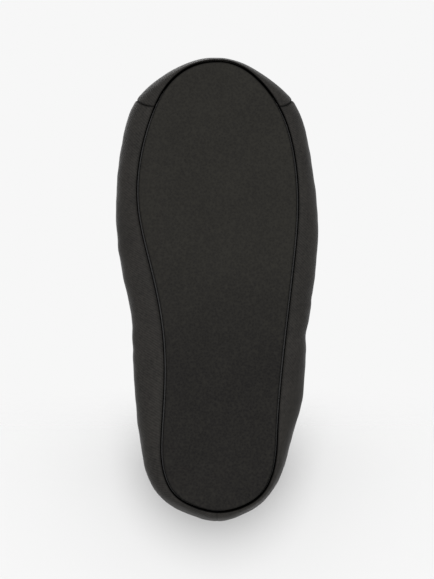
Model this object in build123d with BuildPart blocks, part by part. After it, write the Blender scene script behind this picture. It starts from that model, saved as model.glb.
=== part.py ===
from build123d import *
from functools import cache
import math
import os

# Soft ballet slipper for the left foot, in millimetres.
# The sole rests on z = 0, the toe points along -Y and the inner side of the foot is at -X.

# Sole panel, and how far the soft upper bulges past it
sole_length = 250.0
sole_width = 88.7
toe_overhang = 1.7
heel_overhang = 4.7
side_bulge = 22.5

# Heights of the upper
heel_height = 60.0
toe_height = 28.5
throat_height = 45.0
widest_height = 13.0

# Sole stack, from the floor up
outsole_thickness = 1.6
board_thickness = 1.2
cushion_thickness = 2.5
foam_thickness = 4.0
sock_thickness = 0.8
sole_stack_gap = 1.0
cushion_length = 78.0
cushion_margin = 9.0

# Layers of the upper, from the outside in
cloth_thickness = 1.2
interlining_thickness = 1.5
lining_thickness = 0.8
groove_depth = 0.7
panel_gap = 0.3

# Toe-cap seam seen from the side, behind the tip of the toe
cap_seam_at_sole = 27.2
cap_seam_foremost = 22.7
cap_seam_on_top = 30.7
cap_seam_bow_height = 14.0
cap_seam_clearance = 5.5

# Stiffeners and lining joint
puff_back_from_seam = 4.0
counter_length = 67.7
counter_height = 40.0
lining_joint = 12.0

# Edge of the opening seen from the side: where it passes and how far it dips below the throat or heel
throat_from_centre = 40.0
vamp_lead_run = 18.0
vamp_lead_rise = 21.0
front_dip_run = 16.0
front_dip = 6.5
middle_dip = 8.5
back_dip_place = 30.0
back_dip = 7.5
heel_rise_run = 59.7
heel_rise_drop = 17.0
heel_peak_run = 24.7
heel_peak_drop = 8.0
heel_lead_run = 15.0
heel_lead_rise = 3.0

# Binding and elastic of the opening
binding_thickness = 0.9
binding_depth = 3.5
elastic_width = 3.0
elastic_thickness = 1.2
elastic_gap = 0.2

# Seams
seam_slot = 0.5
thread_thickness = 0.3
sole_thread_width = 0.7
sole_thread_height = 0.6
sole_thread_gap = 0.25
tape_width = 12.0
tape_thickness = 0.5

# Reach of the cutting blocks past the shoe
block_reach = 20.0

os.makedirs("parts", exist_ok=True)

half_sole = sole_length / 2
upper_width = sole_width + side_bulge
toe_end = -half_sole - toe_overhang
heel_end = half_sole + heel_overhang
throat = -throat_from_centre

# Plan outlines as shares: (how far along from toe to heel, inner half-width, outer half-width).
# Half-widths are shares of the full width across the ball.
sole_stations = [
    (0.010, 0.150, 0.135),
    (0.045, 0.290, 0.270),
    (0.125, 0.412, 0.418),
    (0.220, 0.481, 0.487),
    (0.320, 0.494, 0.506),
    (0.420, 0.440, 0.488),
    (0.540, 0.362, 0.450),
    (0.680, 0.325, 0.406),
    (0.820, 0.343, 0.376),
    (0.910, 0.333, 0.350),
    (0.962, 0.262, 0.275),
    (0.990, 0.128, 0.152),
]
upper_stations = [
    (0.012, 0.145, 0.128),
    (0.040, 0.268, 0.240),
    (0.095, 0.402, 0.378),
    (0.200, 0.478, 0.458),
    (0.330, 0.503, 0.494),
    (0.440, 0.486, 0.489),
    (0.560, 0.428, 0.455),
    (0.700, 0.402, 0.433),
    (0.830, 0.382, 0.366),
    (0.915, 0.338, 0.313),
    (0.960, 0.254, 0.238),
    (0.988, 0.122, 0.118),
]

# How the upper rounds out from the sole seam to its widest line, as shares of that height
bulge_shares = (0.0, 0.32, 0.66, 1.0)

# How the upper closes in above its widest line: (height, share of the way from toe to throat,
# lean of the back in mm, share of the width)
shaping_height = heel_height + 6
toe_rise = toe_height - widest_height
vamp_rise = throat_height - toe_height
back_rise = shaping_height - throat_height
shaping_slices = [
    (widest_height + 0.32 * toe_rise, 0.010, 0.1, 0.985),
    (widest_height + 0.58 * toe_rise, 0.060, 0.3, 0.955),
    (widest_height + 0.81 * toe_rise, 0.175, 0.6, 0.920),
    (toe_height, 0.350, 1.0, 0.880),
    (toe_height + 0.27 * vamp_rise, 0.540, 1.7, 0.825),
    (toe_height + 0.64 * vamp_rise, 0.790, 2.8, 0.740),
    (throat_height, 1.030, 4.0, 0.665),
    (throat_height + 0.45 * back_rise, 1.280, 6.2, 0.590),
    (shaping_height, 1.540, 9.0, 0.540),
]


def outline(stations, toe, heel, width):
    """Closed list of plan points, from the toe down the outer side and back up the inner side."""
    length = heel - toe
    outer = [(side * width, toe + share * length) for share, _, side in stations]
    inner = [(-side * width, toe + share * length) for share, side, _ in stations]
    return [(0, toe)] + outer + [(0, heel)] + inner[::-1]


def inset(points, depth):
    """The same points moved inwards by depth, square to the outline."""
    moved = []
    for index, (x, y) in enumerate(points):
        x_before, y_before = points[index - 1]
        x_after, y_after = points[(index + 1) % len(points)]
        run = math.hypot(x_after - x_before, y_after - y_before)
        moved.append((x - (y_after - y_before) / run * depth, y + (x_after - x_before) / run * depth))
    return moved


sole_outline = outline(sole_stations, -half_sole, half_sole, sole_width)
upper_outline = outline(upper_stations, toe_end, heel_end, upper_width)
seam_outline = inset(sole_outline, groove_depth)


def upper_slices(depth):
    """Heights and outlines of the body that lies depth inside the outer face of the upper."""
    slices = []
    for share in bulge_shares:
        bulge = math.sin(share * math.pi / 2)
        height = outsole_thickness + share * (widest_height - outsole_thickness)
        points = [
            (xs + (xu - xs) * bulge, ys + (yu - ys) * bulge)
            for (xs, ys), (xu, yu) in zip(seam_outline, upper_outline)
        ]
        slices.append((height, inset(points, depth)))
    for height, back, lean, narrow in shaping_slices:
        toe = toe_end + back * (throat - toe_end)
        points = outline(upper_stations, toe, heel_end - lean, upper_width * narrow)
        sunk = depth * min(1, (height - widest_height) / toe_rise)
        slices.append((height - sunk, inset(points, depth)))
    return slices


@cache
def upper_space(depth):
    """Solid foot-shaped body inside the layer that lies depth below the outer face."""
    with BuildPart() as space:
        for height, points in upper_slices(depth):
            with BuildSketch(Plane.XY.offset(height)):
                with BuildLine():
                    Spline(*points, periodic=True)
                make_face()
        loft()
    return space.part


# Depths of the layers below the outer face
interlining_depth = cloth_thickness
lining_depth = interlining_depth + interlining_thickness
wall_thickness = lining_depth + lining_thickness
cloth_drop = binding_thickness + elastic_width + 2 * elastic_gap

# Side view of the edge of the opening, from above the vamp to behind the heel
topline = [
    (throat - vamp_lead_run, throat_height + vamp_lead_rise),
    (throat, throat_height),
    (throat + front_dip_run, throat_height - front_dip),
    (0, throat_height - middle_dip),
    (back_dip_place, throat_height - back_dip),
    (heel_end - heel_rise_run, heel_height - heel_rise_drop),
    (heel_end - heel_peak_run, heel_height - heel_peak_drop),
    (heel_end, heel_height),
    (heel_end + heel_lead_run, heel_height + heel_lead_rise),
]


def lowered(line, drop):
    """An open side-view line moved by drop, square to itself."""
    moved = []
    for index, (y, z) in enumerate(line):
        y_before, z_before = line[max(index - 1, 0)]
        y_after, z_after = line[min(index + 1, len(line) - 1)]
        run = math.hypot(y_after - y_before, z_after - z_before)
        moved.append((y + (z_after - z_before) / run * drop, z - (y_after - y_before) / run * drop))
    return moved


def below_topline(drop):
    """Block under the edge of the opening, lowered by drop."""
    line = lowered(topline, drop)
    first = line[0]
    last = line[-1]
    front = toe_end - block_reach
    with BuildPart() as block:
        with BuildSketch(Plane.YZ.offset(-upper_width)):
            with BuildLine():
                Spline(*line)
                Polyline(last, (last[0], -block_reach), (front, -block_reach), (front, first[1]), first)
            make_face()
        extrude(amount=2 * upper_width)
    return block.part


def before_cap_seam(shift):
    """Block in front of the toe-cap seam, with the seam moved back by shift."""
    top_height = toe_height + cap_seam_clearance
    front = toe_end - block_reach
    start = (toe_end + cap_seam_at_sole + shift, 0)
    middle = (toe_end + cap_seam_foremost + shift, cap_seam_bow_height)
    end = (toe_end + cap_seam_on_top + shift, top_height)
    with BuildPart() as block:
        with BuildSketch(Plane.YZ.offset(-upper_width)):
            with BuildLine():
                ThreePointArc(start, middle, end)
                Polyline(end, (front, top_height), (front, 0), start)
            make_face()
        extrude(amount=2 * upper_width)
    return block.part


def length_block(start, end, half_width=upper_width, top=shaping_height + block_reach):
    """Block over the stretch of the shoe from start to end."""
    with BuildPart() as block:
        with BuildSketch():
            with Locations((0, (start + end) / 2)):
                Rectangle(2 * half_width, end - start)
        extrude(amount=top)
    return block.part


def height_block(bottom, top):
    """Block over the whole shoe between two heights."""
    with BuildPart() as block:
        with BuildSketch(Plane.XY.offset(bottom)):
            Rectangle(2 * upper_width, 2 * sole_length)
        extrude(amount=top - bottom)
    return block.part


def slab(points, bottom, thickness):
    """Flat layer of the sole with the given outline."""
    with BuildPart() as layer:
        with BuildSketch(Plane.XY.offset(bottom)):
            with BuildLine():
                Spline(*points, periodic=True)
            make_face()
        extrude(amount=thickness)
    return layer.part


def carved(start, keep=(), remove=()):
    """The start body where all the keep blocks are, less all the remove blocks."""
    with BuildPart() as body:
        add(start)
        for block in keep:
            add(block, mode=Mode.INTERSECT)
        for block in remove:
            add(block, mode=Mode.SUBTRACT)
    return body.part


def shell(outer_depth, inner_depth, drop=cloth_drop, keep=(), remove=()):
    """Layer of the upper between two depths, cut to the opening and to its own stretch."""
    keep = [below_topline(drop)] + list(keep)
    remove = list(remove) + [upper_space(inner_depth)]
    return carved(upper_space(outer_depth), keep, remove)


def write(part, name):
    part.label = name
    export_step(part, f"parts/{name}.step")


print("sole")
board_top = outsole_thickness + board_thickness
foam_top = board_top + foam_thickness + cushion_thickness
write(slab(sole_outline, 0, outsole_thickness), "outsole")

thread_inset = wall_thickness + sole_thread_gap
thread_outer = slab(inset(seam_outline, thread_inset), outsole_thickness, sole_thread_height)
inner_inset = thread_inset + sole_thread_width
thread_inner = slab(inset(seam_outline, inner_inset), outsole_thickness, sole_thread_height)
write(carved(thread_outer, remove=[thread_inner]), "sole_seam_thread")

board_outline = inset(seam_outline, wall_thickness + sole_stack_gap + sole_thread_width)
write(slab(board_outline, outsole_thickness, board_thickness), "sole_board")

whole_cushion = slab(inset(board_outline, cushion_margin), board_top, cushion_thickness)
heel_cushion = carved(whole_cushion, keep=[length_block(half_sole - cushion_length, half_sole)])
write(heel_cushion, "heel_cushion")

bed_space = upper_space(wall_thickness + sole_stack_gap)
under_bed = height_block(-block_reach, board_top)
up_to_foam = height_block(-block_reach, foam_top)
up_to_sock = height_block(-block_reach, foam_top + sock_thickness)
write(carved(bed_space, keep=[up_to_foam], remove=[under_bed, heel_cushion]), "footbed_foam")
write(carved(bed_space, keep=[up_to_sock], remove=[up_to_foam]), "sock_liner")

print("upper")
back_end = heel_end + block_reach
cap_front = before_cap_seam(0)
cap_back = before_cap_seam(seam_slot)
back_slot = length_block(0, back_end, half_width=seam_slot / 2)
write(shell(0, interlining_depth, keep=[cap_front]), "toe_cap")
write(shell(0, interlining_depth, remove=[cap_back, back_slot]), "upper_body")

puff_block = before_cap_seam(-puff_back_from_seam)
behind_puff = before_cap_seam(panel_gap - puff_back_from_seam)
counter_front = heel_end - counter_length
counter_stretch = length_block(counter_front, back_end)
counter_block = length_block(counter_front + panel_gap, back_end, top=counter_height)
write(shell(interlining_depth, lining_depth, keep=[puff_block]), "toe_puff")
write(shell(interlining_depth, lining_depth, remove=[behind_puff, counter_stretch]), "upper_foam")
write(shell(interlining_depth, lining_depth, keep=[counter_block]), "heel_counter")

front_half = length_block(toe_end - block_reach, lining_joint)
back_half = length_block(lining_joint + panel_gap, back_end)
write(shell(lining_depth, wall_thickness, keep=[front_half]), "vamp_lining")
write(shell(lining_depth, wall_thickness, keep=[back_half]), "quarter_lining")

print("seams")
thread_top = (cloth_thickness - thread_thickness) / 2
thread_bottom = thread_top + thread_thickness
thread_gap = (seam_slot - thread_thickness) / 2
thread_front = before_cap_seam(thread_gap)
thread_back = before_cap_seam(seam_slot - thread_gap)
write(shell(thread_top, thread_bottom, keep=[thread_back], remove=[thread_front]), "toe_seam_thread")

back_band = length_block(0, back_end, half_width=thread_thickness / 2)
write(shell(thread_top, thread_bottom, keep=[back_band]), "back_seam_thread")

tape_block = length_block(0, back_end, half_width=tape_width / 2)
tape_drop = cloth_drop + binding_depth + panel_gap
tape_bottom = wall_thickness + tape_thickness
write(shell(wall_thickness, tape_bottom, keep=[tape_block], drop=tape_drop), "back_seam_tape")

print("opening")
tunnel = shell(0, wall_thickness, drop=binding_thickness)
under_binding = below_topline(cloth_drop + binding_depth)
binding_inside = wall_thickness + binding_thickness
binding = shell(-binding_thickness, binding_inside, drop=0, remove=[under_binding, tunnel])
write(binding, "topline_binding")

elastic_top = binding_thickness + elastic_gap
elastic_outside = (wall_thickness - elastic_thickness) / 2
elastic_inside = elastic_outside + elastic_thickness
under_elastic = below_topline(elastic_top + elastic_width)
write(shell(elastic_outside, elastic_inside, drop=elastic_top, remove=[under_elastic]), "topline_elastic")
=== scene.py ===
import math

import bpy
import numpy as np
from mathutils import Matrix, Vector, noise
from mathutils.bvhtree import BVHTree


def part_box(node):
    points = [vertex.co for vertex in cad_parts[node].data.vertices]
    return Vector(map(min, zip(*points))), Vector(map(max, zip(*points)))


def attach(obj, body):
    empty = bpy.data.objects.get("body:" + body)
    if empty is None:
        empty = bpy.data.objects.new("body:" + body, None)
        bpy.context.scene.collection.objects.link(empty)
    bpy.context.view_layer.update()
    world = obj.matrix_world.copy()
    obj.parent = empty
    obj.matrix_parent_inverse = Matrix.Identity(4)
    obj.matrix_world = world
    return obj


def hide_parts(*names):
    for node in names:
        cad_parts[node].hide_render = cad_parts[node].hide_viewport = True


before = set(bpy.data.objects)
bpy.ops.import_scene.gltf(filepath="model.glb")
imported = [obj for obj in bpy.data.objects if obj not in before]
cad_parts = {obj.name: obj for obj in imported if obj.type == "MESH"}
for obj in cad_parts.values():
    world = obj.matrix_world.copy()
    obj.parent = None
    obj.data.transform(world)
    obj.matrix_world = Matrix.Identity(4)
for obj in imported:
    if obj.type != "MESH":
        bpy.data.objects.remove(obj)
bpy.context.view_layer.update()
mm = 0.001
bpy.ops.object.select_all(action="DESELECT")
print("frame loaded")


# the camera looks straight up at the sole, toe at the top of the picture
shot = {"distance": 2.0, "seenLength": 0.321, "middle": 0.0017, "sensor": 36.0}


def addCamera():
    bpy.ops.object.camera_add(location=(0, shot["middle"], -shot["distance"]), rotation=(math.pi, 0, 0))
    camera = bpy.context.object
    camera.name = "camera"
    camera.data.sensor_width = shot["sensor"]
    camera.data.lens = shot["sensor"] * shot["distance"] / shot["seenLength"]
    camera.data.clip_start = 0.01
    bpy.context.scene.camera = camera


addCamera()


# small helpers for meshes
def cadTree(*names):
    points, faces = [], []
    for name in names:
        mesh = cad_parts[name].data
        start = len(points)
        points += [v.co.copy() for v in mesh.vertices]
        faces += [[start + i for i in f.vertices] for f in mesh.polygons]
    return BVHTree.FromPolygons(points, faces)


def smoothStep(low, high, value):
    t = np.clip((value - low) / (high - low), 0, 1)
    return t * t * (3 - 2 * t)


def bump(value, centre, width):
    return np.exp(-((value - centre) / width) ** 2)


def unit(vectors):
    return vectors / np.maximum(np.linalg.norm(vectors, axis=-1, keepdims=True), 1e-12)


def gridNormals(points):
    # rows run from the sole up, columns run round the shoe and the last column repeats the first
    ring = points[:, :-1]
    around = np.roll(ring, -1, axis=1) - np.roll(ring, 1, axis=1)
    along = np.gradient(ring, axis=0)
    normals = unit(np.cross(along, around))
    return np.concatenate([normals, normals[:, :1]], axis=1)


def relax(points, times, keepEnds=True):
    for _ in range(times):
        ring = points[:, :-1]
        side = (np.roll(ring, 1, axis=1) + np.roll(ring, -1, axis=1)) / 2
        updown = ring.copy()
        updown[1:-1] = (ring[2:] + ring[:-2]) / 2
        mixed = ring * 0.4 + side * 0.3 + updown * 0.3
        if keepEnds:
            mixed[0], mixed[-1] = ring[0], ring[-1]
        points = np.concatenate([mixed, mixed[:, :1]], axis=1)
    return points


def clothGrid(name, points, uv=None):
    rows, columns = points.shape[:2]
    bpy.ops.object.select_all(action="DESELECT")
    bpy.ops.mesh.primitive_grid_add(x_subdivisions=columns - 1, y_subdivisions=rows - 1, size=1, calc_uvs=True)
    piece = bpy.context.object
    piece.name = piece.data.name = name
    piece.data.vertices.foreach_set("co", np.ascontiguousarray(points, dtype=np.float32).reshape(-1))
    if uv is not None:
        corners = np.empty(len(piece.data.loops), dtype=np.int32)
        piece.data.loops.foreach_get("vertex_index", corners)
        layer = piece.data.uv_layers.active
        layer.data.foreach_set("uv", uv.reshape(-1, 2)[corners].astype(np.float32).reshape(-1))
    piece.data.update()
    return piece


def editAll(piece, work):
    bpy.ops.object.select_all(action="DESELECT")
    bpy.context.view_layer.objects.active = piece
    piece.select_set(True)
    bpy.ops.object.mode_set(mode="EDIT")
    bpy.ops.mesh.select_all(action="SELECT")
    work()
    bpy.ops.object.mode_set(mode="OBJECT")


def closeRing(piece):
    def weld():
        bpy.ops.mesh.remove_doubles(threshold=0.00002)
        bpy.ops.mesh.normals_make_consistent(inside=False)
    editAll(piece, weld)


def smooth(piece):
    bpy.ops.object.select_all(action="DESELECT")
    bpy.context.view_layer.objects.active = piece
    piece.select_set(True)
    bpy.ops.object.shade_smooth()


def thicken(piece, thickness, offset=-1):
    bpy.context.view_layer.objects.active = piece
    modifier = piece.modifiers.new("thickness", "SOLIDIFY")
    modifier.thickness = thickness
    modifier.offset = offset
    bpy.ops.object.modifier_apply(modifier=modifier.name)


# loops read from the frame
loops = {"columns": 400, "widestHeight": 13 * mm, "soleProbe": 0.8 * mm}
angles = np.linspace(0, 2 * math.pi, loops["columns"] + 1)
outerTree = cadTree("upper_body", "toe_cap", "toe_puff", "upper_foam")
clothTree = cadTree("upper_body", "toe_cap")
bindingTree = cadTree("topline_binding")
soleTree = cadTree("outsole")


def loopAt(tree, height, far=0.3, aside=0.002):
    heelY = tree.ray_cast(Vector((aside, far, height)), Vector((0, -1, 0)))[0].y
    toeY = tree.ray_cast(Vector((aside, -far, height)), Vector((0, 1, 0)))[0].y
    ring = []
    for angle in angles:
        y = (heelY + toeY) / 2 + (heelY - toeY) / 2 * math.cos(angle)
        side = 1 if math.sin(angle) > 0 else -1
        hit = tree.ray_cast(Vector((side * far, y, height)), Vector((-side, 0, 0)))[0]
        x = hit.x if hit and abs(math.sin(angle)) > 1e-6 and hit.x * side > 0 else 0
        ring.append((x, y, height))
    ring = np.array(ring)
    for _ in range(2):
        middle = (np.roll(ring[:-1, 0], 1) + np.roll(ring[:-1, 0], -1)) / 2
        ring[:-1, 0] = ring[:-1, 0] * 0.5 + middle * 0.5
        ring[-1] = ring[0]
    return ring


def marchOut(x, y, stepX, stepY):
    # walks out over the opening until the edge of the binding lies below, then closes in on it
    down, high, reach = Vector((0, 0, -1)), 0.2, 1.0
    for _ in range(400):
        if bindingTree.ray_cast(Vector((x, y, high)), down)[0]:
            if reach < 0.02:
                break
            x, y, reach = x - stepX * reach, y - stepY * reach, reach / 4
        x, y = x + stepX * reach, y + stepY * reach
    hit = bindingTree.ray_cast(Vector((x + stepX * 0.2, y + stepY * 0.2, high)), down)[0]
    return x, y, (hit.z if hit else None)


def insideEdge(y, side):
    x, _, z = marchOut(0, y, side * mm, 0)
    return x, z


def openingEnd(direction):
    _, y, z = marchOut(0, 0.04, 0, direction * mm)
    return y, z


seamLoop = loopAt(soleTree, loops["soleProbe"])
widestLoop = loopAt(outerTree, loops["widestHeight"])
throatY, throatZ = openingEnd(-1)
backY, backZ = openingEnd(1)
print("opening", round(throatY / mm, 1), round(backY / mm, 1), round(throatZ / mm, 1), round(backZ / mm, 1))

edge = {"wall": 5.3 * mm, "frontPace": 0.40, "backPace": 0.97, "blendFrom": -30 * mm, "blendTo": 50 * mm}


def openingLoop():
    heelY, toeY = seamLoop[:, 1].max(), seamLoop[:, 1].min()
    ring = []
    for angle, (_, y, _) in zip(angles, seamLoop):
        front = throatY + edge["frontPace"] * (y - toeY)
        back = backY - edge["backPace"] * (heelY - y)
        share = float(smoothStep(edge["blendFrom"], edge["blendTo"], y))
        at = front * (1 - share) + back * share
        side = 1 if math.sin(angle) > 0 else -1
        if abs(math.sin(angle)) < 1e-6:
            ring.append((0, throatY if y < 0 else backY, throatZ if y < 0 else backZ))
            continue
        x, z = insideEdge(at, side)
        ring.append((x, at, z if z else np.nan))
    ring = np.array(ring)
    heights = ring[:, 2]
    good = ~np.isnan(heights)
    ring[:, 2] = np.interp(np.arange(len(ring)), np.flatnonzero(good), heights[good])
    for _ in range(4):
        middle = (np.roll(ring[:-1], 1, axis=0) + np.roll(ring[:-1], -1, axis=0)) / 2
        ring[:-1] = ring[:-1] * 0.5 + middle * 0.5
        ring[-1] = ring[0]
    return ring


def planNormals(ring):
    body = ring[:-1]
    run = np.roll(body, -1, axis=0) - np.roll(body, 1, axis=0)
    out = unit(np.stack([run[:, 1], -run[:, 0], np.zeros(len(run))], axis=1))
    centre = body[:, :2].mean(axis=0)
    if (out[:, :2] * (body[:, :2] - centre)).sum() < 0:
        out = -out
    return np.concatenate([out, out[:1]])


edgeLoop = openingLoop()
edgeOut = planNormals(edgeLoop)
seamOut = planNormals(seamLoop)
print("loops read")


# the outer skin of the upper, from the sole seam to the opening
skin = {
    "rows": 66,
    "rollRows": 15,
    "rollOut": 0.9 * mm,
    "rollHeight": 0.75 * mm,
    "samples": 90,
    "bindingProud": 0.9 * mm,
    "guessOut": 2.0 * mm,
    "rowPower": 1.15,
}
# the cloth turned into the sole seam: out from the seam line, height
turnedEdge = [(-0.9, 4.2), (-0.25, 3.4), (0.1, 2.5), (0.28, 1.7), (0.45, 1.15), (0.68, 0.86)]


def onSurface(points, clear):
    found = points.copy()
    for index, point in enumerate(points):
        place = Vector(point)
        near, _, _, gap = clothTree.find_nearest(place)
        bound, normal, _, boundGap = bindingTree.find_nearest(place)
        if boundGap < gap:
            near = bound - normal * clear
        found[index] = near
    return found


def bezier(a, b, c, d, t):
    return a * (1 - t) ** 3 + 3 * b * t * (1 - t) ** 2 + 3 * c * t ** 2 * (1 - t) + d * t ** 3


def upperSkin():
    outerEdge = edgeLoop + edgeOut * (edge["wall"] - skin["bindingProud"])
    roll, path = [], []
    for column in range(len(angles)):
        seam, wide, out = seamLoop[column], widestLoop[column], seamOut[column]
        top = outerEdge[column]
        start = seam * (1, 1, 0) + out * skin["rollOut"] + (0, 0, skin["rollHeight"])
        turn = np.linspace(0, math.pi / 2, skin["rollRows"])
        across = np.sin(turn)[:, None]
        rise = (1 - np.cos(turn))[:, None]
        flat = start * (1, 1, 0) * (1 - across) + wide * (1, 1, 0) * across
        roll.append(flat + np.array((0, 0, 1)) * (start[2] + (wide[2] - start[2]) * rise))
        t = np.linspace(0, 1, skin["samples"])[:, None]
        over = wide * 0.55 + top * 0.45
        over[2] = top[2] * 0.86
        rise = wide + (0, 0, (top[2] - wide[2]) * 0.45)
        path.append(bezier(wide, rise, over, top, t))
    roll, path = np.array(roll).transpose(1, 0, 2), np.array(path).transpose(1, 0, 2)
    shape = path.shape
    outwards = gridNormals(path)
    fixed = onSurface((path + outwards * skin["guessOut"]).reshape(-1, 3), skin["bindingProud"]).reshape(shape)
    fixed = relax(fixed, 6, keepEnds=False)
    # even steps along each column
    rows = skin["rows"]
    spaced = np.empty((rows, shape[1], 3))
    share = np.linspace(0, 1, rows) ** skin["rowPower"]
    for column in range(shape[1]):
        line = fixed[:, column]
        run = np.concatenate([[0], np.cumsum(np.linalg.norm(np.diff(line, axis=0), axis=1))])
        for axis in range(3):
            spaced[:, column, axis] = np.interp(share * run[-1], run, line[:, axis])
    spaced[0] = widestLoop
    spaced = relax(spaced, 4)
    whole = np.concatenate([roll[:-1], spaced])
    return relax(whole, 3)


upperPoints = upperSkin()
print("upper skin", upperPoints.shape)

# the toe-cap seam seen from the side: an arc through three points
capSeam = {
    "atSole": (-99.5 * mm, 0.0),
    "foremost": (-104.0 * mm, 14 * mm),
    "onTop": (-96.0 * mm, 34 * mm),
    "strips": (0.25, 0.6, 1.2, 2.2),
}


def seamY(z):
    (y1, z1), (y2, z2), (y3, z3) = capSeam["atSole"], capSeam["foremost"], capSeam["onTop"]
    return (
        y1 * (z - z2) * (z - z3) / ((z1 - z2) * (z1 - z3))
        + y2 * (z - z1) * (z - z3) / ((z2 - z1) * (z2 - z3))
        + y3 * (z - z1) * (z - z2) / ((z3 - z1) * (z3 - z2))
    )


# how the cloth is pulled and creased: side (-1 arch, 1 outside, 0 both), place along the shoe,
# lean along the shoe for each mm of height, depth out of the surface, width, lowest and highest point
creases = [
    (-1, -25.8, -0.25, -0.40, 3.6, 3, 22), (-1, -18.0, -0.20, 0.40, 3.4, 2, 24),
    (-1, -11.4, -0.10, -0.42, 3.2, 3, 26), (-1, -4.5, 0.00, 0.30, 3.2, 2, 22),
    (-1, 19.7, 0.15, -0.62, 3.8, 4, 30), (-1, 27.0, 0.10, 0.34, 3.8, 3, 26),
    (-1, 34.0, 0.05, -0.36, 2.4, 1, 20), (-1, 39.6, 0.00, 0.38, 2.6, 1, 18),
    (-1, 61.0, 0.10, -0.22, 5.0, 3, 22), (-1, 74.0, 0.05, 0.28, 6.0, 3, 26),
    (-1, -58.0, -0.20, 0.22, 7.0, 4, 24), (-1, -80.0, -0.10, -0.22, 5.0, 4, 20),
    (1, 7.5, -0.10, -0.28, 2.2, 2, 24), (1, 11.5, -0.10, 0.32, 2.0, 2, 22),
    (1, 16.0, -0.05, -0.34, 2.2, 2, 26), (1, 20.5, -0.05, 0.30, 2.2, 2, 20),
    (1, 27.0, 0.05, -0.70, 2.8, 2, 30), (1, 33.5, 0.10, 0.30, 3.4, 2, 26),
    (1, 50.0, 0.10, -0.22, 5.0, 3, 24), (1, 70.0, 0.05, 0.30, 7.0, 3, 26),
    (1, -14.0, -0.15, -0.30, 4.0, 3, 24), (1, -24.0, -0.20, 0.26, 4.0, 3, 22),
    (1, -52.0, -0.20, -0.20, 6.0, 4, 22), (1, -70.0, -0.15, 0.24, 6.0, 4, 20),
]
ease = {
    "lump": 0.28 * mm, "lumpSize": 21 * mm, "fine": 0.14 * mm, "fineSize": 6.5 * mm,
    "gather": 0.55 * mm, "gatherPitch": 6.2 * mm, "gatherReach": 17 * mm,
    # the seam shade entry sets how dark the sewn seams are painted, standing in for their shadow
    "seam": 0.50 * mm, "seamPuff": 0.14 * mm, "seamShade": 0.9,
    "backSeam": 0.35, "fullHeight": 12.5, "fullSpread": 8.5, "calm": 0.55,
}


# how full the cloth stands at its widest line: place along the shoe, then mm, on the arch side and outside
fullness = {
    -1: [(-103, 1.1), (-75, 0.8), (-48, 0.7), (-20, -0.2), (15, 0.2), (25, 1.1),
         (41, 1.6), (63, 1.6), (91, 0.3), (118, 0.6), (128, 1.4)],
    1: [(-103, 0.9), (-75, 1.1), (-48, 1.1), (-20, 1.1), (15, 1.1), (25, -0.3),
        (41, 0.2), (63, 1.5), (91, 0.2), (118, -0.2), (128, 1.4)],
}


def distanceBelowEdge(points):
    # how far each point lies below the top of its own column, measured along the cloth
    steps = np.linalg.norm(np.diff(points, axis=0), axis=2)
    below = np.concatenate([np.cumsum(steps[::-1], axis=0)[::-1], np.zeros((1, points.shape[1]))])
    return below


def edgeRun(ring):
    steps = np.linalg.norm(np.diff(ring, axis=0), axis=1)
    return np.concatenate([[0], np.cumsum(steps)])


def gatherWave(run, total, pitch, seed):
    # uneven pleats that still close after one turn
    count = round(total / pitch)
    turn = run / total * 2 * math.pi
    wander = 1.6 * np.sin(3 * turn + seed) + 1.1 * np.sin(7 * turn + 2.3 * seed)
    wave = np.sin(count * turn + wander) + 0.6 * np.sin((count * 1.5 // 1) * turn - 1.7 * wander + seed)
    return wave * (0.72 + 0.28 * np.sin(5 * turn + 1.9 * seed)) / 1.6


def clothNoise(points, size, seed):
    flat = points.reshape(-1, 3)
    values = [noise.noise(Vector(p) / size + Vector((seed, 2.7 * seed, 0))) for p in flat]
    return np.array(values).reshape(points.shape[:-1])


def pulled(points):
    # the skin moved along its normals by creases, ease and the gathers of the elastic
    normals = gridNormals(points)
    x, y, z = points[..., 0] / mm, points[..., 1] / mm, points[..., 2] / mm
    sides = {side: np.interp(y, *zip(*table)) for side, table in fullness.items()}
    toSide = smoothStep(-10, 10, x)
    full = sides[-1] * (1 - toSide) + sides[1] * toSide
    lift = full * mm * bump(z, ease["fullHeight"], ease["fullSpread"])
    for side, place, lean, depth, width, low, high in creases:
        mask = 1 if side == 0 else smoothStep(2, 14, side * x)
        reach = smoothStep(low - 3, low + 2, z) * (1 - smoothStep(high - 9, high + 3, z))
        reach = reach * (1 - ease["calm"] * bump(z, 14, 4.5))
        lift += mask * reach * depth * mm * bump(y - place, lean * z, width)
    tight = 1 - 0.75 * (1 - smoothStep(-104, -92, y))
    clear = smoothStep(0.5, 5, z)
    lift += clothNoise(points, ease["lumpSize"], 3.1) * ease["lump"] * 1.6 * tight * clear
    lift += clothNoise(points, ease["fineSize"], 8.4) * ease["fine"] * 1.6 * tight * clear
    below = distanceBelowEdge(points)
    run = edgeRun(points[-1])
    wave = gatherWave(run, run[-1], ease["gatherPitch"], 1.3)
    fade = (1 - smoothStep(0.2, 1, below / ease["gatherReach"])) * smoothStep(9, 16, z)
    lift += wave[None, :] * fade * ease["gather"]
    return points + normals * lift[..., None]


def edgeFrames(points):
    # tables for placing things near the opening: the cloth at a depth below its edge, and its normal
    return points, gridNormals(points), distanceBelowEdge(points)


def belowEdge(tables, depth):
    points, normals, below = tables
    columns = points.shape[1]
    place, out = np.empty((columns, 3)), np.empty((columns, 3))
    for column in range(columns):
        run = below[::-1, column]
        for axis in range(3):
            place[column, axis] = np.interp(depth, run, points[::-1, column, axis])
            out[column, axis] = np.interp(depth, run, normals[::-1, column, axis])
    return place, unit(out)


def clothUv(points):
    # metres round the shoe at its widest and metres up along each column
    widest = points[skin["rollRows"] + len(turnedEdge)]
    u = np.broadcast_to(edgeRun(widest), points.shape[:2])
    steps = np.linalg.norm(np.diff(points, axis=0), axis=2)
    v = np.concatenate([np.zeros((1, points.shape[1])), np.cumsum(steps, axis=0)])
    return np.stack([u, v], axis=2)


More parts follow.
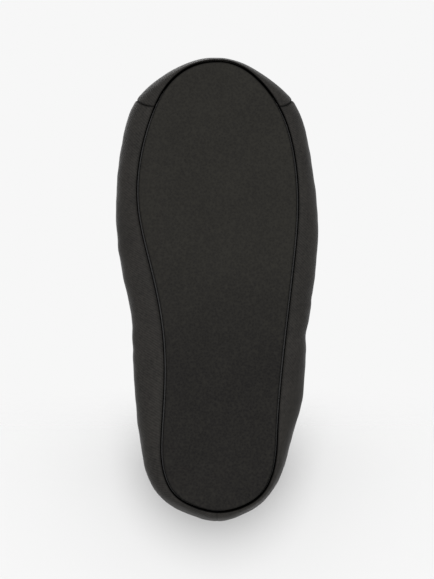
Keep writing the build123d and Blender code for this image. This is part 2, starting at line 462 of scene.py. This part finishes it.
def addTurnedEdge(points):
    rows = [seamLoop * (1, 1, 0) + seamOut * out * mm + (0, 0, height * mm) for out, height in turnedEdge]
    return np.concatenate([np.array(rows), points])


# the seams of the upper are cut in as strips of narrow faces, so that a thin groove has a shape
def warped(piece, shift):
    mesh = piece.data
    places = np.empty(len(mesh.vertices) * 3, dtype=np.float32)
    mesh.vertices.foreach_get("co", places)
    places = places.reshape(-1, 3).astype(float)
    places[:, 1] += shift * seamY(places[:, 2])
    mesh.vertices.foreach_set("co", places.astype(np.float32).reshape(-1))
    mesh.update()


def sliceAt(piece, place, normal, keep=lambda centre: True):
    bpy.ops.object.select_all(action="DESELECT")
    bpy.context.view_layer.objects.active = piece
    piece.select_set(True)
    bpy.ops.object.mode_set(mode="EDIT")
    bpy.ops.mesh.select_all(action="DESELECT")
    bpy.ops.object.mode_set(mode="OBJECT")
    for face in piece.data.polygons:
        face.select = keep(face.center)
    bpy.ops.object.mode_set(mode="EDIT")
    bpy.ops.mesh.select_mode(type="FACE")
    bpy.ops.mesh.bisect(plane_co=place, plane_no=normal, threshold=0.000005)
    bpy.ops.object.mode_set(mode="OBJECT")


def cutSeams(piece):
    warped(piece, -1)
    for strip in capSeam["strips"]:
        for side in (-1, 1):
            sliceAt(piece, (0, side * strip * mm, 0), (0, 1, 0), lambda c: abs(c.y) < 6 * mm)
    sliceAt(piece, (0, 0, 0), (0, 1, 0), lambda c: abs(c.y) < 6 * mm)
    warped(piece, 1)
    for strip in capSeam["strips"]:
        for side in (-1, 1):
            sliceAt(piece, (side * strip * mm, 0, 0), (1, 0, 0), lambda c: c.y > 90 * mm and abs(c.x) < 6 * mm)


def groove(distance):
    # depth across a turned seam, with the cloth swelling beside it
    away = np.abs(distance) / mm
    return -ease["seam"] * np.exp(-(away / 0.38) ** 2) + ease["seamPuff"] * np.exp(-((away - 1.7) / 0.9) ** 2)


def paintSeamShade(mesh, paintedShade):
    # painted shade for the seams: how dark each point is painted, kept on the mesh for its material
    layer = mesh.attributes.new("seamShade", "FLOAT", "POINT")
    layer.data.foreach_set("value", np.clip(paintedShade, 0, 1).astype(np.float32))


def pressSeams(piece):
    mesh = piece.data
    count = len(mesh.vertices)
    places, normals = np.empty(count * 3, dtype=np.float32), np.empty(count * 3, dtype=np.float32)
    mesh.vertices.foreach_get("co", places)
    mesh.vertices.foreach_get("normal", normals)
    places, normals = places.reshape(-1, 3).astype(float), normals.reshape(-1, 3)
    fromCap = places[:, 1] - seamY(places[:, 2])
    lift = groove(fromCap) * (np.abs(fromCap) < 5 * mm)
    atBack = (places[:, 1] > 95 * mm) & (np.abs(places[:, 0]) < 5 * mm)
    lift = lift + groove(places[:, 0]) * atBack * ease["backSeam"]
    lift = lift * smoothStep(0.7 * mm, 2.0 * mm, places[:, 2])
    mesh.vertices.foreach_set("co", (places + normals * lift[:, None]).astype(np.float32).reshape(-1))
    mesh.update()
    corners = np.empty(len(mesh.loops), dtype=np.int32)
    own = np.empty(len(mesh.loops) * 2, dtype=np.float32)
    mesh.loops.foreach_get("vertex_index", corners)
    mesh.uv_layers.active.data.foreach_get("uv", own)
    along = np.zeros(count)
    along[corners] = own.reshape(-1, 2)[:, 1]
    # painted shade: the cloth turned into the sole seam and the lines of the sewn seams are painted dark for the
    # shadow in their grooves
    turned = 1 - smoothStep(3.5 * mm, 4.4 * mm, along)
    sewn = np.exp(-(fromCap / (0.52 * mm)) ** 2) + 0.5 * atBack * np.exp(-(places[:, 0] / (0.34 * mm)) ** 2)
    paintSeamShade(mesh, np.maximum(turned, sewn * ease["seamShade"]))


def splitOff(piece, name, chosen):
    # the chosen faces become a piece of their own
    bpy.ops.object.select_all(action="DESELECT")
    bpy.context.view_layer.objects.active = piece
    piece.select_set(True)
    bpy.ops.object.mode_set(mode="EDIT")
    bpy.ops.mesh.select_all(action="DESELECT")
    bpy.ops.object.mode_set(mode="OBJECT")
    for face in piece.data.polygons:
        face.select = bool(chosen(face.center))
    bpy.ops.object.mode_set(mode="EDIT")
    bpy.ops.mesh.separate(type="SELECTED")
    bpy.ops.object.mode_set(mode="OBJECT")
    other = [o for o in bpy.context.selected_objects if o != piece][0]
    other.name = other.data.name = name
    return other


upperSpec = {"cloth": 1.0 * mm}


def buildUpper():
    points = addTurnedEdge(pulled(upperPoints))
    body = clothGrid("upper_cloth", points, clothUv(points))
    closeRing(body)
    cutSeams(body)
    pressSeams(body)
    cap = splitOff(body, "toe_cap_cloth", lambda c: c.y < seamY(c.z))
    for piece in (body, cap):
        thicken(piece, upperSpec["cloth"])
        smooth(piece)
    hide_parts("upper_body", "back_seam_thread")
    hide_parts("toe_cap", "toe_seam_thread")
    for piece in (body, cap):
        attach(piece, "root")
    print("upper sewn")
    return body, cap


upperCloth, toeCapCloth = buildUpper()
skinTables = edgeFrames(pulled(upperPoints))


# the sole panel, flat, with its edge drawn up into the seam
sole = {
    # in from the seam line and height, from the hidden top round the edge to the flat face
    "edge": [(2.9, 3.1), (1.4, 3.2), (0.75, 2.9), (0.55, 2.2), (0.50, 1.4), (0.52, 0.80), (0.66, 0.40),
             (0.95, 0.17), (1.6, 0.06), (2.6, 0.03), (4.2, 0.012)],
    # painted shade: how dark each edge row is painted, for the shadow in the seam groove beside the upper
    "paintedShade": [1, 1, 1, 1, 1, 1, 0.9, 0.25],
    "rings": 22,
    "wave": 0.10 * mm,
}


def towardMiddle(ring, share):
    # the ring drawn in towards the shoe's long axis, and evenly to it at share 1
    heel, toe = ring[:, 1].max(), ring[:, 1].min()
    short = 0.80
    centre = (heel + toe) / 2
    inner = ring.copy()
    inner[:, 0] = 0
    inner[:, 1] = centre + (heel - toe) / 2 * np.cos(angles) * short
    return ring * (1 - share) + inner * share


def buildSole():
    flatSeam = seamLoop * (1, 1, 0)
    rows = [flatSeam - seamOut * inward * mm + (0, 0, height * mm) for inward, height in sole["edge"]]
    last = rows[-1]
    for step in range(1, sole["rings"] + 1):
        ring = towardMiddle(last * (1, 1, 0), step / sole["rings"])
        lift = np.array([0.5 + 0.5 * noise.noise(Vector(p) / 0.03 + Vector((0.4, 0.2, 0.5))) for p in ring])
        fade = min(1, step / 4)
        rows.append(ring + np.array((0, 0, 1)) * (0.012 * mm * (1 - fade) + sole["wave"] * lift * fade)[:, None])
    points = np.array(rows)
    panel = clothGrid("sole_panel", points)
    paintedShade = np.zeros(points.shape[:2])
    paintedShade[:len(sole["paintedShade"])] = np.array(sole["paintedShade"])[:, None]
    paintSeamShade(panel.data, paintedShade.reshape(-1))
    closeRing(panel)
    thicken(panel, 0.9 * mm, offset=-1)
    smooth(panel)
    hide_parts("outsole", "sole_seam_thread")
    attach(panel, "root")
    print("sole panel made")
    return panel


solePanel = buildSole()


# the lining, seen through the opening
inside = {
    "depth": 3.5 * mm, "cloth": 0.7 * mm, "lowest": 8.6 * mm, "joint": 12.2 * mm, "top": 1.0 * mm,
    "tapeHalf": 6.0 * mm, "tape": 0.5 * mm,
}


def buildLining():
    calm = relax(upperPoints, 2)
    normals = gridNormals(calm)
    wave = pulled(upperPoints) - upperPoints
    points = calm + wave * 0.5 - normals * inside["depth"]
    # each column starts under the sock and ends inside the binding
    share = np.linspace(0, 1, 58)
    lined = np.empty((len(share), points.shape[1], 3))
    for column in range(points.shape[1]):
        line = points[:, column]
        first = int(np.argmax(line[:, 2] > inside["lowest"]))
        line = line[first:]
        run = np.concatenate([[0], np.cumsum(np.linalg.norm(np.diff(line, axis=0), axis=1))])
        for axis in range(3):
            lined[:, column, axis] = np.interp(share * (run[-1] - inside["top"]), run, line[:, axis])
    piece = clothGrid("quarter_lining_cloth", lined, clothUvOf(lined))
    closeRing(piece)
    for strip in (-0.6, -0.2, 0.2, 0.6):
        place = (0, inside["joint"] + strip * mm, 0)
        sliceAt(piece, place, (0, 1, 0), lambda c: abs(c.y - inside["joint"]) < 4 * mm)
    mesh = piece.data
    for vertex in mesh.vertices:
        gap = (vertex.co.y - inside["joint"]) / mm
        if abs(gap) < 3:
            vertex.co += vertex.normal * 0.4 * mm * math.exp(-(gap / 0.4) ** 2)
    front = splitOff(piece, "vamp_lining_cloth", lambda c: c.y < inside["joint"])
    for part, node in ((piece, "quarter_lining"), (front, "vamp_lining")):
        thicken(part, inside["cloth"], offset=1)
        smooth(part)
        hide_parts(node)
        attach(part, "root")
    print("lining made")
    return lined, piece, front


def clothUvOf(points):
    u = np.broadcast_to(edgeRun(points[0]), points.shape[:2])
    steps = np.linalg.norm(np.diff(points, axis=0), axis=2)
    v = np.concatenate([np.zeros((1, points.shape[1])), np.cumsum(steps, axis=0)])
    return np.stack([u, v], axis=2)


liningPoints, quarterLining, vampLining = buildLining()


def buildBackTape():
    # the strip over the centre-back seam, between the sock and the binding
    columns = 14
    rows = liningPoints.shape[0]
    heel = liningPoints[:, :-1]
    strip = np.empty((rows, columns, 3))
    for row in range(rows):
        ring = heel[row]
        back = ring[ring[:, 1] > 80 * mm]
        back = back[np.argsort(back[:, 0])]
        xs = np.linspace(-inside["tapeHalf"], inside["tapeHalf"], columns)
        for axis in (1, 2):
            strip[row, :, axis] = np.interp(xs, back[:, 0], back[:, axis])
        strip[row, :, 0] = xs
    strip[..., 1] -= 0.35 * mm
    tape = clothGrid("back_tape", strip, clothUvOf(strip))
    thicken(tape, inside["tape"], offset=0)
    smooth(tape)
    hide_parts("back_seam_tape")
    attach(tape, "root")
    return tape


backTape = buildBackTape()


# footbed: a foam pad under a thin sock
bed = {
    "gap": 0.5 * mm, "skirt": 4.0 * mm, "crown": 1.3 * mm, "roundness": 5.0 * mm, "rings": 26, "heelDish": 1.4 * mm,
    "sock": 0.8 * mm, "sockCut": (0.104, 0.249), "sockArea": 0.0199,
}
sockTree = cadTree("sock_liner")
foamTree = cadTree("footbed_foam")
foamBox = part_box("footbed_foam")
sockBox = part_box("sock_liner")


def bedHeight(points, distance):
    # a pad that crowns between its edges, dished under the heel and under the ball of the foot
    y = points[:, 1] / mm
    x = points[:, 0] / mm
    rounded = bed["roundness"] * 0.22 * (1 - smoothStep(0, 4.5 * mm, distance))
    crown = bed["crown"] * smoothStep(0, 14 * mm, distance) - rounded
    heel = -bed["heelDish"] * np.exp(-((y - 88) / 30) ** 2 - (x / 19) ** 2)
    ball = -0.7 * mm * np.exp(-((y + 52) / 26) ** 2 - (x / 28) ** 2)
    arch = 0.9 * mm * np.exp(-((y - 20) / 32) ** 2 - ((x + 26) / 15) ** 2)
    return crown + heel + ball + arch


def bedRings(outline, level, inset):
    out = planNormals(outline)
    first = outline * (1, 1, 0) - out * inset
    rows = []
    for step in range(bed["rings"] + 1):
        share = (step / bed["rings"]) ** 1.25
        ring = towardMiddle(first, share)
        distance = np.linalg.norm((ring - first)[:, :2], axis=1)
        height = level + bedHeight(ring, distance)
        rows.append(ring * (1, 1, 0) + np.array((0, 0, 1)) * height[:, None])
    return rows


def buildFootbed():
    outline = loopAt(sockTree, (sockBox[0][2] + sockBox[1][2]) / 2)
    top = sockBox[1][2]
    rings = bedRings(outline, top, bed["gap"])
    low = loopAt(foamTree, foamBox[0][2] + bed["skirt"])
    skirt = low - planNormals(low) * bed["gap"]
    sockPoints = np.array([skirt] + rings)
    sock = clothGrid("sock_cloth", sockPoints, np.stack([sockPoints[..., 0], sockPoints[..., 1]], axis=2))
    closeRing(sock)
    lower = bedRings(outline, top - bed["sock"] - 0.1 * mm, bed["gap"] + bed["sock"] + 0.1 * mm)
    foot = loopAt(foamTree, foamBox[0][2] + 0.2 * mm)
    base = foot - planNormals(foot) * bed["gap"] * 2
    under = [towardMiddle(base, share) for share in (0.96, 0.7, 0.35, 0.02)]
    foam = clothGrid("footbed_pad", np.array([towardMiddle(base, 1.0)] + under[::-1] + [base] + lower))
    closeRing(foam)
    thicken(sock, bed["sock"], offset=-1)
    for piece, node, slot in ((sock, "sock_liner", "lining_cloth"), (foam, "footbed_foam", "foam")):
        smooth(piece)
        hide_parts(node)
        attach(piece, "root")
    print("footbed made")
    return sock, foam


sockCloth, footbedPad = buildFootbed()


# the binding: tape folded over the opening and drawn up by the elastic inside it
tape = {
    "out": 0.95 * mm, "lip": 7.2 * mm, "stitchAt": 4.9 * mm, "fat": 0.55 * mm, "pinch": 0.35 * mm,
    "ripple": 0.42 * mm, "pitch": 4.4 * mm, "cloth": 0.8 * mm, "sideTop": 1.2 * mm, "sideRows": 16,
}


def buildBinding():
    run = edgeRun(skinTables[0][-1])
    wave = gatherWave(run, run[-1], tape["pitch"], 4.2)
    slow = gatherWave(run, run[-1], tape["pitch"] * 3.1, 0.6)
    wall = edge["wall"] - skin["bindingProud"] * 2
    rows = []

    def profile(depth):
        # the tape stands fat over the elastic, is pinched by its stitches, then lies flat
        fat = tape["fat"] * math.exp(-((depth - 2.2 * mm) / (1.6 * mm)) ** 2)
        pinch = tape["pinch"] * math.exp(-((depth - tape["stitchAt"]) / (0.6 * mm)) ** 2)
        return tape["out"] + fat - pinch

    outside = np.linspace(tape["lip"], tape["sideTop"], tape["sideRows"])
    for depth in outside:
        place, out = belowEdge(skinTables, depth)
        pleat = tape["ripple"] * wave * (0.35 + 0.65 * math.exp(-((depth - 2.4 * mm) / (2.6 * mm)) ** 2))
        rows.append(place + out * (profile(depth) + pleat)[:, None])
    topPlace, topOut = belowEdge(skinTables, 1.2 * mm)
    upPlace, _ = belowEdge(skinTables, 0)
    up = unit(upPlace - topPlace)
    outer = rows[-1]
    innerBase = topPlace - topOut * (wall + profile(1.2 * mm))
    inner = innerBase - topOut * (tape["ripple"] * 0.7 * wave)[:, None]
    centre = (outer + inner) / 2
    radius = np.linalg.norm(outer - inner, axis=1)[:, None] / 2
    for turn in np.linspace(0, math.pi, 11)[1:-1]:
        crest = 1.9 * mm + tape["ripple"] * 0.5 * wave[:, None] + 0.3 * mm * slow[:, None]
        rows.append(centre + topOut * radius * math.cos(turn) + up * crest * math.sin(turn))
    for depth in outside[::-1]:
        place, out = belowEdge(skinTables, depth)
        pleat = tape["ripple"] * 0.7 * wave * (0.35 + 0.65 * math.exp(-((depth - 2.4 * mm) / (2.6 * mm)) ** 2))
        rows.append(place - out * (wall + profile(depth) + pleat)[:, None])
    points = np.array(rows)
    points = relax(points, 1)
    piece = clothGrid("opening_binding", points, clothUvOf(points))
    closeRing(piece)
    thicken(piece, tape["cloth"], offset=-1)
    smooth(piece)
    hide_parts("topline_binding")
    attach(piece, "root")
    print("binding made")
    return points, piece


bindingPoints, bindingTape = buildBinding()


# stitches
thread = {"length": 2.3 * mm, "pitch": 3.0 * mm, "radius": 0.24 * mm}


def stitchShape(name):
    bpy.ops.object.select_all(action="DESELECT")
    bpy.ops.mesh.primitive_uv_sphere_add(segments=6, ring_count=5, radius=1)
    shape = bpy.context.object
    shape.name = name
    return shape


def stitchRow(name, places, outs):
    # one small spindle of thread, copied along a line of places
    shape = stitchShape(name)
    base = np.array([v.co[:] for v in shape.data.vertices])
    faces = [list(f.vertices) for f in shape.data.polygons]
    run = edgeRun(places)
    count = int(run[-1] / thread["pitch"])
    vertices, polygons = [], []
    for number in range(count):
        at = (number + 0.5) / count * run[-1]
        ends = []
        for end in (at - thread["length"] / 2, at + thread["length"] / 2):
            ends.append(np.array([np.interp(end, run, places[:, axis]) for axis in range(3)]))
        out = unit(np.array([np.interp(at, run, outs[:, axis]) for axis in range(3)]))
        along = ends[1] - ends[0]
        side = unit(np.cross(out, along))
        centre = (ends[0] + ends[1]) / 2
        local = (centre + base[:, :1] * along * 0.5 + base[:, 1:2] * side * thread["radius"]
                 + base[:, 2:3] * out * thread["radius"] * 0.8)
        start = len(vertices)
        vertices += local.tolist()
        polygons += [[start + i for i in face] for face in faces]
    mesh = bpy.data.meshes.new(name)
    mesh.from_pydata(vertices, [], polygons)
    shape.data = mesh
    smooth(shape)
    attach(shape, "root")
    return shape


def buildStitches():
    rows = []
    normals = gridNormals(bindingPoints)
    wanted = int(np.argmin(np.abs(np.linspace(tape["lip"], tape["sideTop"], tape["sideRows"]) - tape["stitchAt"])))
    inner = len(bindingPoints) - 1 - wanted
    for name, row in (("binding_stitches_outside", wanted), ("binding_stitches_inside", inner)):
        out = normals[row]
        rows.append(stitchRow(name, bindingPoints[row] + out * 0.05 * mm, out))
    print("stitches made")
    return rows


stitchPieces = buildStitches()


# shader maths as plain expressions
class Signal:
    def __init__(self, paint, socket):
        self.paint, self.socket = paint, socket

    def math(self, operation, first, second=None):
        inputs = {0: first} if second is None else {0: first, 1: second}
        return self.paint.node("ShaderNodeMath", {"operation": operation}, inputs)

    def __add__(self, other):
        return self.math("ADD", self, other)

    def __radd__(self, other):
        return self.math("ADD", other, self)

    def __sub__(self, other):
        return self.math("SUBTRACT", self, other)

    def __rsub__(self, other):
        return self.math("SUBTRACT", other, self)

    def __mul__(self, other):
        return self.math("MULTIPLY", self, other)

    def __rmul__(self, other):
        return self.math("MULTIPLY", other, self)

    def sine(self):
        return self.math("SINE", self)


class Paint:
    def __init__(self, name):
        self.material = bpy.data.materials.new(name)
        self.material.use_nodes = True
        self.nodes, self.links = self.material.node_tree.nodes, self.material.node_tree.links
        self.nodes.clear()

    def node(self, kind, settings=None, inputs=None, output=0):
        made = self.nodes.new(kind)
        for key, value in (settings or {}).items():
            if key == "stops":
                ramp = made.color_ramp.elements
                while len(ramp) < len(value):
                    ramp.new(0.5)
                for stop, (place, colour) in zip(ramp, value):
                    stop.position, stop.color = place, (*colour, 1)
            else:
                setattr(made, key, value)
        for key, value in (inputs or {}).items():
            if isinstance(value, Signal):
                self.links.new(value.socket, made.inputs[key])
            else:
                made.inputs[key].default_value = value
        return Signal(self, made.outputs[output])

    def place(self, own=False):
        return self.node("ShaderNodeTexCoord", output="UV" if own else "Object")

    def parts(self, vector):
        split = self.node("ShaderNodeSeparateXYZ", None, {0: vector})
        sockets = split.socket.node.outputs
        return [Signal(self, sockets[i]) for i in range(3)]

    def grain(self, vector, scale, detail=2.0, roughness=0.5, distortion=0.0):
        inputs = {
            "Vector": vector, "Scale": scale, "Detail": detail, "Roughness": roughness, "Distortion": distortion,
        }
        return self.node("ShaderNodeTexNoise", None, inputs)

    def cells(self, vector, scale, feature="SMOOTH_F1", spread=1.0):
        inputs = {"Vector": vector, "Scale": scale, "Randomness": spread}
        return self.node("ShaderNodeTexVoronoi", {"feature": feature}, inputs)

    def mix(self, factor, low, high):
        made = self.node("ShaderNodeMix", {"data_type": "RGBA"}, {0: factor})
        node = made.socket.node
        for index, value in ((6, low), (7, high)):
            if isinstance(value, Signal):
                self.links.new(value.socket, node.inputs[index])
            else:
                node.inputs[index].default_value = (*value, 1)
        return Signal(self, node.outputs[2])

    def between(self, value, low, high, start=0.0, end=1.0):
        inputs = {0: value, 1: low, 2: high, 3: start, 4: end}
        return self.node("ShaderNodeMapRange", {"interpolation_type": "SMOOTHSTEP"}, inputs)

    def relief(self, height, distance, strength=1.0):
        inputs = {"Strength": strength, "Distance": distance, "Height": height}
        return self.node("ShaderNodeBump", None, inputs)

    def finish(self, colour, roughness, normal=None, seams=False, **fixed):
        inputs = {"Base Color": colour, "Roughness": roughness}
        if normal:
            inputs["Normal"] = normal
        shader = self.node("ShaderNodeBsdfPrincipled", None, {**inputs, **fixed})
        if seams:
            # painted shade: where the seam shade attribute is high, the cloth is mixed to a black finish with no
            # shine, standing in for the shadow in the seam
            depth = self.node("ShaderNodeAttribute", {"attribute_name": "seamShade"}, output="Fac")
            paintedShadeLook = {"Base Color": (0.002, 0.002, 0.002, 1), "Roughness": 1.0, "Specular IOR Level": 0.0}
            dark = self.node("ShaderNodeBsdfPrincipled", None, paintedShadeLook)
            shader = self.node("ShaderNodeMixShader", None, {0: depth, 1: shader, 2: dark})
        self.output(shader)
        return self.material

    def output(self, shader):
        made = self.nodes.new("ShaderNodeOutputMaterial")
        self.links.new(shader.socket, made.inputs[0])


def rgb(red, green, blue):
    # display colour to scene colour
    shares = [value / 255 for value in (red, green, blue)]
    return tuple(c / 12.92 if c < 0.04045 else ((c + 0.055) / 1.055) ** 2.4 for c in shares)


# sole panel: fine pebbled textile, lighter over the forefoot
soleLook = {"dark": rgb(18, 17, 18), "light": rgb(37, 36, 33), "pebble": 900, "relief": 0.10 * mm}


def soleMaterial():
    paint = Paint("sole_pebbled_cloth")
    at = paint.place()
    pebble = paint.cells(at, soleLook["pebble"])
    fine = paint.grain(at, 2600, 2)
    broad = paint.grain(at, 34, 3, 0.6)
    along = paint.parts(at)[1]
    # the tone is lighter towards the toe and darker towards the heel
    forefoot = paint.between(along, 0.055, -0.035)
    tone = forefoot * 0.34 + (broad - 0.5) * 0.35 + 0.38 + (pebble - 0.35) * 0.75 + (fine - 0.5) * 0.5
    colour = paint.mix(tone, soleLook["dark"], soleLook["light"])
    height = pebble * 0.8 + fine * 0.35
    bump = paint.relief(height, soleLook["relief"], 0.6)
    rough = 0.86 - broad * 0.12
    fixed = {"Specular IOR Level": 0.05, "Sheen Weight": 0.02, "Sheen Roughness": 0.5}
    return paint.finish(colour, rough, bump, True, **fixed)


# upper: soft twill with a quiet sheen
upperLook = {"dark": rgb(19, 18, 17), "light": rgb(43, 41, 38), "pitch": 1.25 * mm, "relief": 0.16 * mm}


def upperMaterial():
    paint = Paint("upper_twill")
    own = paint.place(own=True)
    solid = paint.place()
    u, v, _ = paint.parts(own)
    wander = (paint.grain(solid, 120, 2) - 0.5) * 0.9 * mm
    turn = 2 * math.pi / upperLook["pitch"]
    rib = ((u * 0.8 + v * 0.6 + wander) * turn).sine() * 0.5 + 0.5
    cross = ((v * 0.8 - u * 0.6 + wander) * (turn * 1.9)).sine() * 0.5 + 0.5
    fibre = paint.grain(solid, 2200, 3)
    broad = paint.grain(solid, 48, 3, 0.6)
    mottle = paint.grain(solid, 620, 2, 0.6)
    tone = rib * 0.20 + cross * 0.12 + (fibre - 0.5) * 0.5 + (mottle - 0.5) * 1.1 + (broad - 0.5) * 0.6 + 0.26
    colour = paint.mix(tone, upperLook["dark"], upperLook["light"])
    bump = paint.relief(rib * 0.7 + cross * 0.3 + fibre * 0.5, upperLook["relief"], 0.7)
    rough = 0.72 - (rib - 0.5) * 0.10
    fixed = {"Specular IOR Level": 0.14, "Sheen Weight": 0.10, "Sheen Roughness": 0.35}
    return paint.finish(colour, rough, bump, True, **fixed)


# binding: ribbed tape, the ribs running over the edge
bindingLook = {"dark": rgb(22, 21, 21), "light": rgb(44, 42, 41), "rib": 0.75 * mm, "relief": 0.14 * mm}


def bindingMaterial():
    paint = Paint("binding_rib")
    u, v, _ = paint.parts(paint.place(own=True))
    solid = paint.place()
    turn = 2 * math.pi / bindingLook["rib"]
    rib = (u * turn).sine() * 0.5 + 0.5
    weave = (v * turn * 1.3 + u * turn).sine() * 0.5 + 0.5
    fibre = paint.grain(solid, 2400, 2)
    tone = rib * 0.5 + weave * 0.15 + (fibre - 0.5) * 0.5 + 0.1
    colour = paint.mix(tone, bindingLook["dark"], bindingLook["light"])
    bump = paint.relief(rib * 0.8 + weave * 0.2 + fibre * 0.3, bindingLook["relief"], 0.7)
    fixed = {"Specular IOR Level": 0.25, "Sheen Weight": 0.12, "Sheen Roughness": 0.4}
    return paint.finish(colour, 0.66, bump, **fixed)


# linings, pads and stiffeners: one recipe with its own colours, scale and depth of relief
plainLooks = {
    "lining_brushed": {"dark": rgb(44, 43, 44), "light": rgb(70, 68, 68), "scale": 900, "stretch": (1, 1, 3),
                       "relief": 0.12 * mm, "rough": 0.92, "sheen": 0.5},
    "sock_knit": {"dark": rgb(46, 45, 46), "light": rgb(76, 74, 73), "scale": 1150, "stretch": (1, 0.5, 1),
                  "relief": 0.16 * mm, "rough": 0.9, "sheen": 0.45},
    "sewing_thread": {"dark": rgb(26, 26, 26), "light": rgb(64, 62, 60), "scale": 3000, "stretch": (1, 1, 1),
                      "relief": 0.05 * mm, "rough": 0.55, "sheen": 0.15},
    "interlining": {"dark": rgb(40, 40, 41), "light": rgb(66, 65, 64), "scale": 1500, "stretch": (1, 1, 1),
                    "relief": 0.12 * mm, "rough": 0.9, "sheen": 0.1},
    "pad_foam": {"dark": rgb(150, 148, 140), "light": rgb(196, 193, 184), "scale": 1500, "stretch": (1, 1, 1),
                 "relief": 0.2 * mm, "rough": 0.9, "sheen": 0.1},
    "fibre_board": {"dark": rgb(112, 92, 70), "light": rgb(156, 133, 104), "scale": 700, "stretch": (2, 1, 2),
                    "relief": 0.06 * mm, "rough": 0.8, "sheen": 0.0},
    "elastic_rib": {"dark": rgb(34, 34, 35), "light": rgb(84, 83, 82), "scale": 1000, "stretch": (0.2, 0.2, 3),
                    "relief": 0.1 * mm, "rough": 0.7, "sheen": 0.1},
    "seam_tape": {"dark": rgb(30, 30, 30), "light": rgb(58, 57, 56), "scale": 1400, "stretch": (1, 0.4, 2),
                  "relief": 0.1 * mm, "rough": 0.75, "sheen": 0.3},
}


def plainMaterial(name):
    look = plainLooks[name]
    paint = Paint(name)
    at = paint.node("ShaderNodeMapping", None, {"Vector": paint.place(), "Scale": look["stretch"]})
    knots = paint.cells(at, look["scale"])
    fibre = paint.grain(at, look["scale"] * 1.9, 3)
    broad = paint.grain(at, 45, 2)
    tone = knots * 0.5 + (fibre - 0.5) * 0.9 + (broad - 0.5) * 0.4 + 0.15
    colour = paint.mix(tone, look["dark"], look["light"])
    bump = paint.relief(knots * 0.6 + fibre * 0.6, look["relief"], 0.7)
    fixed = {"Specular IOR Level": 0.25, "Sheen Weight": look["sheen"], "Sheen Roughness": 0.5}
    return paint.finish(colour, look["rough"] - (broad - 0.5) * 0.1, bump, **fixed)


def dress(piece, material):
    piece.data.materials.clear()
    piece.data.materials.append(material)


def dressAll():
    plain = {name: plainMaterial(name) for name in plainLooks}
    dress(solePanel, soleMaterial())
    twill, rib = upperMaterial(), bindingMaterial()
    dress(upperCloth, twill)
    dress(toeCapCloth, twill)
    dress(bindingTape, rib)
    for piece in (quarterLining, vampLining):
        dress(piece, plain["lining_brushed"])
    dress(backTape, plain["seam_tape"])
    dress(sockCloth, plain["sock_knit"])
    dress(footbedPad, plain["pad_foam"])
    for piece in stitchPieces:
        dress(piece, plain["sewing_thread"])
    hidden = {
        "sole_board": "fibre_board", "heel_cushion": "pad_foam", "toe_puff": "interlining",
        "upper_foam": "interlining", "heel_counter": "interlining", "topline_elastic": "elastic_rib",
    }
    for node, name in hidden.items():
        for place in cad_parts[node].material_slots:
            place.material = plain[name]
    print("materials set")


dressAll()


# floor, backdrop and light: each sheet shows only its own face, so the shoe is seen from below as well
stage = {
    "floorSize": 4.0, "floorHeight": -0.0003, "floor": (0.62, 0.61, 0.60),
    "backSize": 1.6, "backHeight": 0.0615, "back": (0.60, 0.60, 0.60), "fadeFrom": 0.055, "fadeTo": 0.115,
    "world": 0.93, "keyPower": 14, "keySize": 1.2,
    "sunStrength": 2.10, "sunSpread": 0.75, "sunLean": (0.0, 0.24, 1.0),
}


def oneSided(name, colour, fade=None):
    paint = Paint(name)
    seen = paint.node("ShaderNodeLightPath", output="Is Camera Ray")
    back = paint.node("ShaderNodeNewGeometry", output="Backfacing")
    place = paint.place()
    tint = paint.mix(paint.grain(place, 60, 2), tuple(c * 0.995 for c in colour), colour)
    shown = seen * (1 - back)
    if fade:
        shown = shown * paint.between(paint.parts(place)[1], *fade)
    solid = paint.node("ShaderNodeBsdfDiffuse", None, {"Color": tint})
    clear = paint.node("ShaderNodeBsdfTransparent")
    paint.output(paint.node("ShaderNodeMixShader", None, {0: shown, 1: clear, 2: solid}))
    return paint.material


def addSheet(name, height, upward, size, material):
    bpy.ops.object.select_all(action="DESELECT")
    bpy.ops.mesh.primitive_plane_add(size=size, location=(0, 0, height))
    sheet = bpy.context.object
    sheet.name = name
    bpy.ops.object.transform_apply(location=True)
    if not upward:
        editAll(sheet, lambda: bpy.ops.mesh.flip_normals())
    dress(sheet, material)


def addLight(name, kind, place, target):
    bpy.ops.object.light_add(type=kind, location=place)
    lamp = bpy.context.object
    lamp.name = name
    lamp.rotation_euler = (Vector(target) - Vector(place)).to_track_quat("-Z", "Y").to_euler()
    return lamp.data


def setStage():
    addSheet("floor", stage["floorHeight"], True, stage["floorSize"], oneSided("floor_matt", stage["floor"]))
    fade = (stage["fadeFrom"], stage["fadeTo"])
    backdrop = oneSided("backdrop_matt", stage["back"], fade)
    addSheet("backdrop", stage["backHeight"], False, stage["backSize"], backdrop)
    world = bpy.data.worlds.new("soft_room")
    bpy.context.scene.world = world
    world.use_nodes = True
    world.node_tree.nodes["Background"].inputs[0].default_value = (stage["world"],) * 3 + (1,)
    key = addLight("key", "AREA", (-0.7, -0.7, 1.5), (0, 0, 0))
    key.size, key.energy = stage["keySize"], stage["keyPower"]
    sun = addLight("sun_from_below", "SUN", (0, 0, -1), Vector((0, 0, -1)) + Vector(stage["sunLean"]))
    sun.energy, sun.angle = stage["sunStrength"], stage["sunSpread"]
    bpy.context.scene.view_settings.view_transform = "Standard"


setStage()
print("stage set")
